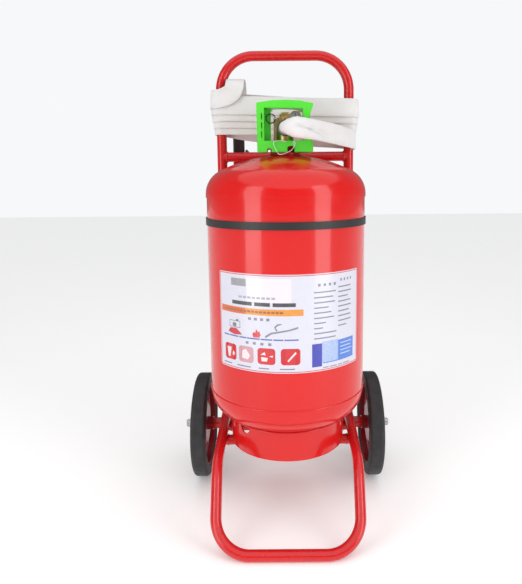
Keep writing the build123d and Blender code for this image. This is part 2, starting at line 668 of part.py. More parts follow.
# ---- valve guard --------------------------------------------------------------------
guard_top = guard_z + GUARD_HEIGHT
guard_back = GUARD_FRONT_Y + GUARD_DEPTH
sill_top = guard_z + GUARD_SILL
window_top = guard_top - GUARD_BAR
window_left = -GUARD_HALF + GUARD_POST
window_right = GUARD_HALF - GUARD_POST - 6
front_plane = along_minus_y(0, 0).offset(-GUARD_FRONT_Y)
with BuildPart() as valve_guard:
    with BuildSketch(along_minus_y(0, 0).offset(-guard_back)) as guard_outline:
        with BuildLine():
            Polyline(
                (-GUARD_HALF, guard_z), (-GUARD_HALF - 1, guard_top - 5), (-GUARD_HALF / 2, guard_top - 1),
                (0, guard_top), (GUARD_HALF / 2, guard_top - 1.5), (GUARD_HALF + 1, guard_top - 7),
                (GUARD_HALF - 6, guard_top - 30), (GUARD_HALF - 5, sill_top + 4),
                (GUARD_HALF, sill_top - 4), (GUARD_HALF, guard_z), close=True,
            )
        make_face()
        fillet(guard_outline.vertices(), GUARD_ROUND)
        with BuildLine():
            Polyline(
                (window_left, sill_top), (window_right + 2, sill_top), (window_right, window_top - 2),
                (window_left, window_top), close=True,
            )
        make_face(mode=Mode.SUBTRACT)
    extrude(amount=GUARD_DEPTH)
    chamfer(valve_guard.faces().sort_by(Axis.Y)[0].edges(), GUARD_CHAMFER)
    # arches between the three blocks of the sill
    for middle, width, height in SILL_ARCHES:
        with BuildSketch(front_plane):
            with Locations((middle, guard_z)):
                RectangleRounded(width, 2 * height, min(width, height) / 2.5)
        extrude(amount=-GUARD_DEPTH, mode=Mode.SUBTRACT)
    # finger slots in the left post, and the thin panel beside it
    for index in range(SLOT_COUNT):
        with BuildSketch(front_plane):
            with Locations((window_left - 5, sill_top + 12 + index * SLOT_PITCH)):
                SlotOverall(SLOT_LENGTH, SLOT_WIDTH, rotation=90)
        extrude(amount=-SLOT_DEPTH, mode=Mode.SUBTRACT)
    with BuildSketch(front_plane.offset(-PANEL_SET_BACK)):
        with Locations((window_left + PANEL_WIDTH / 2 - 1, (sill_top + window_top) / 2)):
            Rectangle(PANEL_WIDTH + 2, window_top - sill_top)
    extrude(amount=-PANEL_THICK)
    # room for the tank's crown and neck
    add(solid_head(head_r + 2, lip_z, 1), mode=Mode.SUBTRACT)
    Cylinder(NECK_R + GAP, 4 * crown_z, mode=Mode.SUBTRACT)
save(valve_guard, "valve_guard")

# ---- hose, coupling and gun ---------------------------------------------------------
nut_low = -OUTLET_Y - 10
nut_high = -OUTLET_Y + 4
ferrule_end = -OUTLET_Y + 16
outlet_plane = along_minus_y(0, outlet_z)
ring("outlet_nut", NUT_R, SPIGOT_R + RUN, nut_low, nut_high, outlet_plane)
with BuildPart() as hose_ferrule:
    with BuildSketch(outlet_plane.offset(-OUTLET_Y)):
        Circle(SPIGOT_R)
        Circle(OUTLET_BORE_R, mode=Mode.SUBTRACT)
    extrude(amount=ferrule_end + OUTLET_Y)
    with BuildSketch(outlet_plane.offset(nut_high + GAP)):
        Circle(NUT_R - 2)
        Circle(OUTLET_BORE_R, mode=Mode.SUBTRACT)
    extrude(amount=3)
save(hose_ferrule, "hose_ferrule")

wrap_inner = TUBE_R + GAP
wrap_outer = wrap_inner + (WRAP_LAYERS - 1) * WRAP_STEP + HOSE_THICK
with BuildPart() as hose_winding:
    with BuildSketch(Plane.XY.offset(wrap_low_z)):
        with Locations((0, post_y)):
            SlotCenterToCenter(2 * POST_X, 2 * wrap_outer)
            SlotCenterToCenter(2 * POST_X, 2 * wrap_inner, mode=Mode.SUBTRACT)
    extrude(amount=wrap_high_z - wrap_low_z)
save(hose_winding, "hose_winding")

# the lead runs from the coupling round the guard to the outside of the right post
lead_points = [
    (0, -ferrule_end), (0, -ferrule_end - 14), (26, -ferrule_end - 16), (74, -52),
    (118, 8), (146, 50), (POST_X + wrap_outer - HOSE_THICK, post_y - wrap_outer),
]
lead_radii = [10, 16, 60, 120, 60]
with BuildPart() as hose_lead:
    with BuildSketch(Plane.XY.offset(outlet_z - LEAD_DROP)):
        with BuildLine() as lead_route:
            FilletPolyline(*lead_points, radius=lead_radii)
        trace(line_width=HOSE_THICK)
    extrude(amount=HOSE_WIDTH)
save(hose_lead, "hose_lead")

# the tail folds over the top of the wrap behind the left post and drops to the gun
tail_top = wrap_high_z + 14
tail_front = post_y - wrap_outer - HOSE_THICK / 2 - GAP
tail_points = [
    (tail_front, wrap_high_z - 30), (tail_front, tail_top), (GUN_Y, tail_top + 4), (GUN_Y, gun_top_z),
]
with BuildPart() as hose_tail:
    with BuildSketch(Plane(origin=(GUN_X - HOSE_WIDTH / 2, 0, 0), x_dir=(0, 1, 0), z_dir=(1, 0, 0))):
        with BuildLine() as tail_route:
            FilletPolyline(*tail_points, radius=[16, 20])
        trace(line_width=HOSE_THICK)
    extrude(amount=HOSE_WIDTH)
save(hose_tail, "hose_tail")
print("hose radii: lead", lead_radii, "wrap", wrap_inner, "to", wrap_outer)

gun_low = gun_top_z - GUN_FERRULE - GUN_LENGTH
ball_z = gun_low + GUN_LENGTH / 2
spindle_end = GUN_X + GUN_R + 7
gun_plane = Plane(origin=(GUN_X, GUN_Y, 0))
with BuildPart() as gun_ferrule:
    with BuildSketch(gun_plane.offset(gun_top_z - GUN_FERRULE)):
        Circle(GUN_R - 1)
        Circle(GUN_BORE_R, mode=Mode.SUBTRACT)
    extrude(amount=GUN_FERRULE)
save(gun_ferrule, "gun_ferrule")
with BuildPart() as gun_body:
    with BuildSketch(gun_plane.offset(gun_low)):
        Circle(GUN_R)
    extrude(amount=GUN_LENGTH)
    fillet(gun_body.edges().filter_by(GeomType.CIRCLE), 2)
    with BuildSketch(gun_plane.offset(gun_low)):
        Circle(GUN_BORE_R)
    extrude(amount=GUN_LENGTH, mode=Mode.SUBTRACT)
    with Locations((GUN_X, GUN_Y, ball_z)):
        Sphere(BALL_R + RUN, mode=Mode.SUBTRACT)
    add(straight_bar((GUN_X, GUN_Y, ball_z), (spindle_end, GUN_Y, ball_z), SPINDLE_R + RUN),
        mode=Mode.SUBTRACT)
save(gun_body, "gun_body")
with BuildPart() as gun_ball:
    with Locations((GUN_X, GUN_Y, ball_z)):
        Sphere(BALL_R)
    add(straight_bar((GUN_X, GUN_Y - BALL_R, ball_z), (GUN_X, GUN_Y + BALL_R, ball_z), GUN_BORE_R - 1),
        mode=Mode.SUBTRACT)
    add(straight_bar((GUN_X + BALL_R - 2, GUN_Y, ball_z), (spindle_end, GUN_Y, ball_z), SPINDLE_R))
save(gun_ball, "gun_ball")
with BuildPart() as gun_lever:
    with BuildSketch(Plane(origin=(spindle_end - 5, 0, 0), x_dir=(0, 1, 0), z_dir=(1, 0, 0))):
        with Locations((GUN_Y, ball_z)):
            Circle(8)
        with Locations((GUN_Y + GUN_LEVER_LENGTH / 2, ball_z)):
            SlotCenterToCenter(GUN_LEVER_LENGTH, 12)
        with Locations((GUN_Y, ball_z)):
            Circle(SPINDLE_R, mode=Mode.SUBTRACT)
    extrude(amount=5)
save(gun_lever, "gun_lever")
with BuildPart() as gun_nozzle:
    with BuildSketch(gun_plane.offset(gun_low)):
        Circle(GUN_R - 3)
    with BuildSketch(gun_plane.offset(gun_low - NOZZLE_LENGTH)):
        Circle(GUN_BORE_R + 3)
    loft()
    with BuildSketch(gun_plane.offset(gun_low - NOZZLE_LENGTH)):
        Circle(NOZZLE_BORE_R)
    extrude(amount=NOZZLE_LENGTH, mode=Mode.SUBTRACT)
save(gun_nozzle, "gun_nozzle")

# a ring on the crossbar holds the nozzle
holder_inner = GUN_R - 3 + GAP
holder_low = gun_low - HOLDER_HEIGHT - 2
holder_top = crossbar_z
plate_y = post_y + cross_r
with BuildPart() as gun_holder:
    with BuildSketch(gun_plane.offset(holder_low)):
        Circle(holder_inner + HOLDER_WALL)
        with Locations((0, (plate_y - GUN_Y) / 2)):
            Rectangle(HOLDER_WIDTH, GUN_Y - plate_y)
        Circle(holder_inner, mode=Mode.SUBTRACT)
    extrude(amount=HOLDER_HEIGHT)
    with BuildSketch(Plane(origin=(GUN_X, 0, 0), x_dir=(0, 1, 0), z_dir=(1, 0, 0))):
        with Locations((plate_y + 1.5, (holder_low + holder_top) / 2)):
            Rectangle(5, holder_top - holder_low)
    extrude(amount=HOLDER_WIDTH / 2, both=True)
    add(round_bar((post_y, crossbar_z), cross_r, POST_X), mode=Mode.SUBTRACT)
save(gun_holder, "gun_holder")

# thin plastic security tie looped through the guard's sill
tie_y = GUARD_FRONT_Y - 1.5
tie_points = [
    (-24, tie_y, guard_z + 20), (-10, tie_y - 3, guard_z - 5), (14, tie_y - 3, guard_z + 1),
    (22, tie_y, guard_z + 20),
]
with BuildPart() as seal_tie:
    with BuildLine() as tie_route:
        FilletPolyline(*tie_points, radius=[6, 6])
    with BuildSketch(Plane(origin=tie_route.line @ 0, z_dir=tie_route.line % 0)):
        Circle(TIE_R)
    sweep()
save(seal_tie, "seal_tie")
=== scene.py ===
"""Looks for the wheeled fire extinguisher: camera, hose, label, metal and paint."""
import json
from math import cos, exp, pi, radians, sin

import bmesh
import bpy
from mathutils import Matrix, Vector, noise


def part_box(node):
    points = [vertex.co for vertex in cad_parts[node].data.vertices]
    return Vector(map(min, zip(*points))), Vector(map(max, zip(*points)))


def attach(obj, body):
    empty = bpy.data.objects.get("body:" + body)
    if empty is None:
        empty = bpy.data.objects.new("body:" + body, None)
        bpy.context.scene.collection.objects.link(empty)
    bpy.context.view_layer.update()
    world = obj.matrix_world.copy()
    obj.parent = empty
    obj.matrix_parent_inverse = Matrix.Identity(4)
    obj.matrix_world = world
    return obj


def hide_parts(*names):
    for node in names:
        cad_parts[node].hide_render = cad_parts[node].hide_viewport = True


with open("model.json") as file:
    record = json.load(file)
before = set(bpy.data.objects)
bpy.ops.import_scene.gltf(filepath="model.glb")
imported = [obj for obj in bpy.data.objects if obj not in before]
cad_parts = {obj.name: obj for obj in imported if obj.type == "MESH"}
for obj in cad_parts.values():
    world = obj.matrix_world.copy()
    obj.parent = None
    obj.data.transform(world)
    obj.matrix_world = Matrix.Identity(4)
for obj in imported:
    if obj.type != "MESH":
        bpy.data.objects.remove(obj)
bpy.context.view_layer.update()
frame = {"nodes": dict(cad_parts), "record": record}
nodes = frame["nodes"]
MM = 0.001
SIDES = ((-1, "left"), (1, "right"))


# ---- camera and floor ---------------------------------------------------------------
camera_data = bpy.data.cameras.new("camera")
camera = bpy.data.objects.new("camera", camera_data)
bpy.context.scene.collection.objects.link(camera)
camera.location = (0, -1.129, 0.692)
aim = Matrix.Rotation(radians(90 - 7.89), 4, "X") @ Matrix.Rotation(radians(-0.47), 4, "Z")
camera.rotation_euler = aim.to_euler()
camera_data.lens = 33.9
camera_data.sensor_width = 36
camera_data.shift_x = -0.043
camera_data.shift_y = -0.066
bpy.context.scene.camera = camera
bpy.context.scene.view_settings.view_transform = "Standard"


# ---- mesh helpers -------------------------------------------------------------------
def place(name, mesh, body):
    """Adds the mesh to the scene as a piece on a CAD body."""
    piece = bpy.data.objects.new(name, mesh)
    bpy.context.scene.collection.objects.link(piece)
    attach(piece, body)
    return piece


def dress(piece, material):
    piece.data.materials.append(material)
    return piece


def add_strip(name, verts, faces, body, uvs):
    """A piece with one UV per vertex, along and round a long strip."""
    mesh = bpy.data.meshes.new(name)
    mesh.from_pydata([tuple(v) for v in verts], [], faces)
    layer = mesh.uv_layers.new(name="strip")
    for loop in mesh.loops:
        layer.data[loop.index].uv = uvs[loop.vertex_index]
    mesh.validate()
    mesh.update()
    mesh.shade_smooth()
    return place(name, mesh, body)


def from_bmesh(name, bm, body, smooth=True):
    bmesh.ops.recalc_face_normals(bm, faces=bm.faces)
    mesh = bpy.data.meshes.new(name)
    bm.to_mesh(mesh)
    bm.free()
    if smooth:
        mesh.shade_smooth()
    return place(name, mesh, body)


def ring_of(name, verts, segments, sides, body, inward):
    """A closed ring of the vertices, sides of them to each of the segments going round."""
    bm = bmesh.new()
    made = [bm.verts.new(vert) for vert in verts]
    for i in range(segments):
        k = (i + 1) % segments
        for j in range(sides):
            m = (j + 1) % sides
            corners = [i * sides + j, i * sides + m, k * sides + m, k * sides + j]
            if inward:
                corners = [corners[0], corners[3], corners[2], corners[1]]
            bm.faces.new([made[corner] for corner in corners])
    return from_bmesh(name, bm, body)


def sharpen(piece, angle=35):
    """Keeps edges over the angle crisp on a smooth-shaded piece."""
    mesh = piece.data
    mesh.shade_smooth()
    bm = bmesh.new()
    bm.from_mesh(mesh)
    for edge in bm.edges:
        if len(edge.link_faces) == 2 and edge.calc_face_angle(0) > radians(angle):
            edge.smooth = False
    bm.to_mesh(mesh)
    bm.free()


def axes_along(direction):
    """Two unit vectors across a direction."""
    d = Vector(direction).normalized()
    side = Vector((0, 0, 1)) if abs(d.z) < 0.9 else Vector((1, 0, 0))
    u = d.cross(side).normalized()
    return u, d.cross(u).normalized()


def lathe(name, centre, direction, profile, body, segments=64, wobble=None):
    """A closed turned piece: profile is (radius, along) points in metres, going round."""
    d = Vector(direction).normalized()
    u, v = axes_along(d)
    verts = []
    for i in range(segments):
        angle = 2 * pi * i / segments
        for r, h in profile:
            if wobble:
                r = wobble(r, angle)
            verts.append(Vector(centre) + d * h + (u * cos(angle) + v * sin(angle)) * r)
    return ring_of(name, verts, segments, len(profile), body, inward=False)


def weld(name, centre, direction, radius, material, thick=0.0016, lumps=0.25):
    """A hand-laid weld bead on the frame's body: a ring whose thickness ripples."""
    d = Vector(direction).normalized()
    u, v = axes_along(d)
    segments, sides = max(48, int(2 * pi * radius / 0.0022)), 8
    verts = []
    for i in range(segments):
        angle = 2 * pi * i / segments
        out = u * cos(angle) + v * sin(angle)
        ripple = 1 + lumps * (0.6 * sin(segments * 0.5 * angle) + noise.noise(out * 6 + Vector(centre) * 30))
        for j in range(sides):
            turn = 2 * pi * j / sides
            verts.append(
                Vector(centre) + out * (radius + thick * ripple * cos(turn)) + d * thick * ripple * sin(turn))
    return dress(ring_of(name, verts, segments, sides, "frame", inward=True), material)


def nurbs(name, points, resolution=10):
    """A curve of one open NURBS spline with these control points."""
    curve = bpy.data.curves.new(name, "CURVE")
    curve.dimensions = "3D"
    spline = curve.splines.new("NURBS")
    spline.points.add(len(points) - 1)
    for spot, point in zip(spline.points, points):
        spot.co = (*point, 1)
    spline.order_u = 3
    spline.use_endpoint_u = True
    spline.resolution_u = resolution
    return curve


def spline_points(points):
    """Points read from the NURBS spline that has these control points."""
    curve = nurbs("route", points)
    holder = bpy.data.objects.new("route", curve)
    bpy.context.scene.collection.objects.link(holder)
    line = bpy.data.meshes.new_from_object(holder)
    found = [v.co.copy() for v in line.vertices]
    bpy.data.objects.remove(holder)
    bpy.data.curves.remove(curve)
    bpy.data.meshes.remove(line)
    return found


def wire(name, points, radius, body):
    """A thin round wire or thread along control points."""
    curve = nurbs(name, points)
    curve.bevel_depth = radius
    curve.bevel_resolution = 3
    curve.use_fill_caps = True
    line = bpy.data.objects.new(name + "_line", curve)
    mesh = bpy.data.meshes.new_from_object(line)
    bpy.data.objects.remove(line)
    return place(name, mesh, body)


# ---- hose: one flat canvas hose from the coupling, round the posts, to the gun --------
HOSE_HALF = 0.020
HOSE_THICK = 0.0033
POST_X, POST_Y = 0.1395, 0.107655
UP = Vector((0, 0, 1))
EXIT = Vector((0, -0.072, 0.785))

route = []          # (centre, direction across the width)
route += [
    (EXIT, UP), (Vector((0.001, -0.080, 0.785)), UP), (Vector((0.008, -0.0895, 0.7845)), UP),
    (Vector((0.026, -0.0895, 0.7835)), Vector((0, 0.10, 1))),
    (Vector((0.050, -0.074, 0.781)), Vector((0, 0.25, 1))),
    (Vector((0.078, -0.046, 0.778)), Vector((0.1, 0.2, 1))), (Vector((0.108, -0.006, 0.775)), UP),
    (Vector((0.136, 0.036, 0.771)), UP), (Vector((0.1545, 0.075, 0.7695)), UP),
]
TILT = 0.062        # the turns overlap like shingles, each leaning in at its top edge
first_radius, radius_step = 0.0136, 0.0026     # each turn lies further out than the last
first_z, first_rise, pitch = 0.7700, 0.0270, 0.0138
SLANT = 0.0065      # the turns stand higher at the left post
ROUND_POST = [(0.033 * k, radians(-90 + 60 * k)) for k in range(4)]
ALONG = (0.2, 0.3, 0.4)
FULL_TURNS = 4


def wrap_radius(travelled):
    return first_radius + radius_step * travelled


def wrap_z(travelled):
    if travelled < 0.5:
        return first_z + first_rise * (2 * travelled) ** 1.3
    return first_z + first_rise + pitch * (travelled - 0.5) + SLANT * sin(2 * pi * (travelled - 0.3))


def lay_turn(travelled, out, post_x):
    """One point of the wrap: beside the post at post_x, or at that x on a run between them."""
    centre = Vector((post_x, POST_Y, wrap_z(travelled))) + out * wrap_radius(travelled)
    centre += out * 0.0008 * noise.noise(centre * 25)
    route.append((centre, (UP - out * TILT).normalized()))


for turn in range(FULL_TURNS + 1):
    for mark, angle in ROUND_POST:
        lay_turn(turn + mark, Vector((cos(angle), sin(angle), 0)), POST_X)
    for share in ALONG:
        lay_turn(turn + share, Vector((0, 1, 0)), POST_X * (1 - 2 * (share - 0.1) / 0.4))
    for mark, angle in ROUND_POST:
        lay_turn(turn + 0.5 + mark, -Vector((cos(angle), sin(angle), 0)), -POST_X)
    if turn < FULL_TURNS:
        for share in ALONG:
            lay_turn(turn + 0.5 + share, Vector((0, -1, 0)), -POST_X * (1 - 2 * (share - 0.1) / 0.4))

# the last turn folds up over the wrap and drops to the gun behind it
route += [
    (Vector((-0.1240, 0.0775, 0.8640)), Vector((-0.45, 0, 1))),
    (Vector((-0.1110, 0.0755, 0.8720)), Vector((-1, 0, 0.8))),
    (Vector((-0.1065, 0.0765, 0.8860)), Vector((-1, 0, 0.15))),
    (Vector((-0.1060, 0.0860, 0.8985)), Vector((-1, 0, 0.05))),
    (Vector((-0.1060, 0.1040, 0.9030)), Vector((-1, 0, 0))),
    (Vector((-0.1060, 0.1270, 0.9020)), Vector((-1, 0, 0))),
    (Vector((-0.1060, 0.1470, 0.8930)), Vector((-1, 0, 0))),
    (Vector((-0.1060, 0.1530, 0.8680)), Vector((-1, 0, 0))),
    (Vector((-0.1060, 0.1525, 0.8300)), Vector((-1, 0, 0))),
    (Vector((-0.1060, 0.1520, 0.8000)), Vector((-1, 0, 0))),
]
centres = spline_points([c for c, _ in route])
edges_line = spline_points([c + across.normalized() * 0.01 for c, across in route])
keep = [0]
for i in range(1, len(centres)):
    if (centres[i] - centres[keep[-1]]).length > 0.0022:
        keep.append(i)
centres_line = [centres[i] for i in keep]
across_line = [(edges_line[i] - centres[i]).normalized() for i in keep]
hose_length = sum((b - a).length for a, b in zip(centres_line, centres_line[1:]))


def smooth_step(x):
    x = min(1.0, max(0.0, x))
    return x * x * (3 - 2 * x)


def hose_section(around, flat, half, thick):
    """A point of the cross-section: a flattened tube, or round where it is on a fitting."""
    c, s = cos(around), sin(around)
    bulge = 1 - 0.35 * flat * (1 - abs(c)) ** 2
    wide = (abs(c) ** (1 - 0.35 * flat)) * (1 if c > 0 else -1)
    deep = (abs(s) ** (1 - 0.25 * flat)) * (1 if s > 0 else -1)
    return wide * half, deep * thick * bulge


RING = 40
hose_verts, hose_faces, hose_uvs = [], [], []
run = 0.0
for i, (centre, across) in enumerate(zip(centres_line, across_line)):
    ahead = centres_line[min(i + 1, len(centres_line) - 1)] - centres_line[max(i - 1, 0)]
    ahead.normalize()
    across = (across - ahead * across.dot(ahead)).normalized()
    out = across.cross(ahead).normalized()
    if i:
        run += (centre - centres_line[i - 1]).length
    left_over = hose_length - run
    on_fitting = min(run, left_over)
    spread = smooth_step((on_fitting - 0.003) / 0.030)
    flat = smooth_step((on_fitting - 0.006) / (0.11 if run < 0.5 else 0.05))
    round_r = 0.0112
    half = round_r + (HOSE_HALF - 0.0002 - round_r) * spread
    thick = round_r + (HOSE_THICK / 2 - round_r) * flat
    crease = 0.0013 * noise.noise(Vector((run * 30, 0, 3)))
    fold_depth = 0.0100 * smooth_step((run - 0.012) / 0.03) * smooth_step((0.16 - run) / 0.10)
    fold_at = -0.15 + 0.28 * sin(run * 42)
    for j in range(RING):
        around = 2 * pi * j / RING
        w, t = hose_section(around, flat, half, thick)
        w += 0.0006 * noise.noise(Vector((run * 22, cos(around), 7))) * flat
        t += (0.35 * crease * cos(around * 2) * flat) * 0.5
        if sin(around) < 0:
            t += fold_depth * exp(-(((w / half) - fold_at) / 0.11) ** 2)
        hose_verts.append(centre + across * w + out * t)
        hose_uvs.append((j / RING * 0.086, run))
count = len(centres_line)
for i in range(count - 1):
    for j in range(RING):
        k = (j + 1) % RING
        hose_faces.append((i * RING + j, (i + 1) * RING + j, (i + 1) * RING + k, i * RING + k))
hose_faces.append(tuple(range(RING)))
hose_faces.append(tuple((count - 1) * RING + j for j in reversed(range(RING))))
hose = add_strip("canvas_hose", hose_verts, hose_faces, "frame", hose_uvs)
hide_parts("hose_lead", "hose_winding", "hose_tail")


# ---- materials ----------------------------------------------------------------------
class Shader:
    """A Principled material with helpers that add procedural detail to it."""

    def __init__(self, name, **fixed):
        self.material = bpy.data.materials.new(name)
        self.material.use_nodes = True
        self.tree = self.material.node_tree
        self.bsdf = self.tree.nodes["Principled BSDF"]
        self.coords = self.tree.nodes.new("ShaderNodeTexCoord")
        self.height = None
        for key, value in fixed.items():
            self.bsdf.inputs[key.replace("_", " ")].default_value = value

    def node(self, kind, **settings):
        made = self.tree.nodes.new(kind)
        for key, value in settings.items():
            if isinstance(value, (int, float, tuple)) and key in made.inputs:
                made.inputs[key].default_value = value
            else:
                setattr(made, key, value)
        return made

    def link(self, a, b):
        self.tree.links.new(a, b)

    def where(self, stretch=(1, 1, 1), uv=False):
        mapping = self.node("ShaderNodeMapping")
        mapping.inputs["Scale"].default_value = stretch
        self.link(self.coords.outputs["UV" if uv else "Object"], mapping.inputs["Vector"])
        return mapping.outputs["Vector"]

    def noise(self, scale, detail=3.0, rough=0.5, stretch=(1, 1, 1), uv=False):
        tex = self.node("ShaderNodeTexNoise")
        tex.inputs["Scale"].default_value = scale
        tex.inputs["Detail"].default_value = detail
        tex.inputs["Roughness"].default_value = rough
        self.link(self.where(stretch, uv), tex.inputs["Vector"])
        return tex.outputs["Fac"]

    def remap(self, value, low, high, to_low, to_high):
        ranged = self.node("ShaderNodeMapRange")
        ranged.inputs["From Min"].default_value = low
        ranged.inputs["From Max"].default_value = high
        ranged.inputs["To Min"].default_value = to_low
        ranged.inputs["To Max"].default_value = to_high
        self.link(value, ranged.inputs["Value"])
        return ranged.outputs["Result"]

    def mix(self, factor, a, b):
        mixed = self.node("ShaderNodeMix", data_type="RGBA")
        self.link(factor, mixed.inputs["Factor"])
        for socket, colour in ((mixed.inputs["A"], a), (mixed.inputs["B"], b)):
            if isinstance(colour, tuple):
                socket.default_value = (*colour, 1)
            else:
                self.link(colour, socket)
        return mixed.outputs["Result"]

    def colour(self, output):
        self.link(output, self.bsdf.inputs["Base Color"])
        return self

    def rough(self, output):
        self.link(output, self.bsdf.inputs["Roughness"])
        return self

    def bump(self, output, depth):
        """Adds a layer of relief, its depth in metres."""
        made = self.node("ShaderNodeBump")
        made.inputs["Strength"].default_value = 1.0
        made.inputs["Distance"].default_value = depth
        self.link(output, made.inputs["Height"])
        if self.height is not None:
            self.link(self.height, made.inputs["Normal"])
        self.height = made.outputs["Normal"]
        self.link(self.height, self.bsdf.inputs["Normal"])
        return self


def paint(name, colour, shade, gloss, orange_peel, coat):
    """Stove enamel: fine orange peel, slow colour drift, faint dust in the gloss."""
    s = Shader(name, Coat_Weight=coat, Coat_Roughness=0.03, Specular_IOR_Level=0.30)
    drift = s.noise(6, 2)
    fleck = s.noise(900, 2)
    both = s.mix(s.remap(fleck, 0.35, 0.75, 0.0, 0.25), s.mix(drift, colour, shade), shade)
    s.colour(both)
    s.rough(s.remap(s.noise(35, 5), 0.3, 0.7, gloss - 0.04, gloss + 0.08))
    s.bump(s.noise(420, 2), orange_peel)
    return s.material


def metal(name, colour, shade, gloss, grain=700, relief=0.00002):
    """Plated or bare metal: patchy tone and fine grain."""
    s = Shader(name, Metallic=1.0)
    s.colour(s.mix(s.remap(s.noise(60, 4), 0.35, 0.7, 0, 1), colour, shade))
    s.rough(s.remap(s.noise(grain, 3), 0.3, 0.7, gloss - 0.08, gloss + 0.12))
    s.bump(s.noise(grain, 3), relief)
    return s.material


def plastic(name, colour, shade, gloss, grain=1200, relief=0.00001, coat=0.0, sub=0.0):
    s = Shader(name, Coat_Weight=coat, Coat_Roughness=0.1, Subsurface_Weight=sub,
               Subsurface_Radius=(0.004, 0.004, 0.004))
    s.colour(s.mix(s.noise(25, 3), colour, shade))
    s.rough(s.remap(s.noise(200, 4), 0.3, 0.7, gloss - 0.05, gloss + 0.1))
    s.bump(s.noise(grain, 2), relief)
    return s.material


RED = (0.73, 0.012, 0.010)
RED_DEEP = (0.64, 0.009, 0.009)
tank_paint = paint("tank_paint", RED, RED_DEEP, 0.18, 0.00001, 0.35)
frame_paint = paint("frame_paint", (0.66, 0.012, 0.014), (0.55, 0.010, 0.012), 0.24, 0.00003, 0.5)
wheel_paint = paint("wheel_paint", (0.30, 0.012, 0.020), (0.22, 0.010, 0.016), 0.32, 0.00004, 0.2)
zinc = metal("zinc_steel", (0.52, 0.52, 0.54), (0.40, 0.40, 0.40), 0.30)
dark_steel = metal("dark_steel", (0.10, 0.09, 0.085), (0.05, 0.045, 0.045), 0.38)
brass = metal("brass", (0.80, 0.60, 0.28), (0.58, 0.42, 0.19), 0.34)
band_black = plastic("band_black", (0.012, 0.012, 0.012), (0.02, 0.02, 0.02), 0.45)
bush = plastic("bush_plastic", (0.80, 0.78, 0.74), (0.70, 0.69, 0.66), 0.5)
guard_green = plastic(
    "guard_green", (0.105, 0.78, 0.045), (0.085, 0.70, 0.040), 0.33, 700, 0.00003, coat=0.3, sub=0.08)
gun_dark = plastic("gun_dark", (0.050, 0.014, 0.018), (0.030, 0.012, 0.014), 0.42)
tie_white = plastic("tie_white", (0.85, 0.85, 0.83), (0.78, 0.78, 0.76), 0.4)
seal = plastic("seal_rubber", (0.02, 0.02, 0.02), (0.03, 0.03, 0.03), 0.7)
dial = plastic("dial_white", (0.82, 0.82, 0.80), (0.78, 0.78, 0.76), 0.4)
needle = paint("needle_red", (0.6, 0.02, 0.02), (0.5, 0.02, 0.02), 0.35, 0.00001, 0.3)

tyre_shader = Shader("tyre", Specular_IOR_Level=0.3)
tyre_shader.colour(tyre_shader.mix(
    tyre_shader.remap(tyre_shader.noise(40, 5), 0.35, 0.7, 0, 1), (0.024, 0.025, 0.027), (0.036, 0.037, 0.040)))
tyre_shader.rough(tyre_shader.remap(tyre_shader.noise(90, 4), 0.3, 0.7, 0.42, 0.62))
tyre_shader.bump(tyre_shader.noise(900, 4), 0.00008)
tyre_shader.bump(tyre_shader.noise(60, 3, stretch=(1, 0.2, 0.2)), 0.0002)
tyre = tyre_shader.material

glass = Shader("gauge_glass", Transmission_Weight=0.95, IOR=1.47)
glass.rough(glass.remap(glass.noise(300, 2), 0.3, 0.7, 0.02, 0.06))
glass.colour(glass.mix(glass.noise(40), (0.92, 0.96, 0.96), (0.88, 0.93, 0.93)))
gauge_glass = glass.material

canvas = Shader("hose_canvas", Sheen_Weight=0.25, Sheen_Roughness=0.5)
soil = canvas.remap(canvas.noise(14, 5), 0.35, 0.75, 0, 1)
warp = canvas.node("ShaderNodeTexWave", wave_type="BANDS", bands_direction="X")
warp.inputs["Scale"].default_value = 240
weft = canvas.node("ShaderNodeTexWave", wave_type="BANDS", bands_direction="Y")
weft.inputs["Scale"].default_value = 210
for wave in (warp, weft):
    wave.inputs["Distortion"].default_value = 0.6
    wave.inputs["Detail"].default_value = 1
    canvas.link(canvas.coords.outputs["UV"], wave.inputs["Vector"])
weave = canvas.node("ShaderNodeMath", operation="MULTIPLY")
canvas.link(warp.outputs["Fac"], weave.inputs[0])
canvas.link(weft.outputs["Fac"], weave.inputs[1])
cloth = canvas.mix(soil, (0.84, 0.83, 0.83), (0.76, 0.74, 0.73))
canvas.colour(canvas.mix(canvas.remap(weave.outputs[0], 0, 1, 0.22, 0), cloth, (0.60, 0.59, 0.58)))
canvas.rough(canvas.remap(canvas.noise(120), 0.3, 0.7, 0.72, 0.88))
canvas.bump(weave.outputs[0], 0.00022)
canvas.bump(canvas.noise(16, 4, stretch=(3, 1, 1), uv=True), 0.0006)
hose_canvas = canvas.material


FILM_GLOSS = 0.32


def film(name, colour, shade):
    """Printed vinyl: slight mottling in the ink and a soft laminate gloss."""
    s = Shader(name, Coat_Weight=0.35, Coat_Roughness=0.12)
    s.colour(s.mix(s.remap(s.noise(260, 4), 0.3, 0.7, 0, 1), colour, shade))
    s.rough(s.remap(s.noise(60, 3), 0.3, 0.7, FILM_GLOSS - 0.04, FILM_GLOSS + 0.08))
    s.bump(s.noise(700, 2), 0.000008)
    return s.material


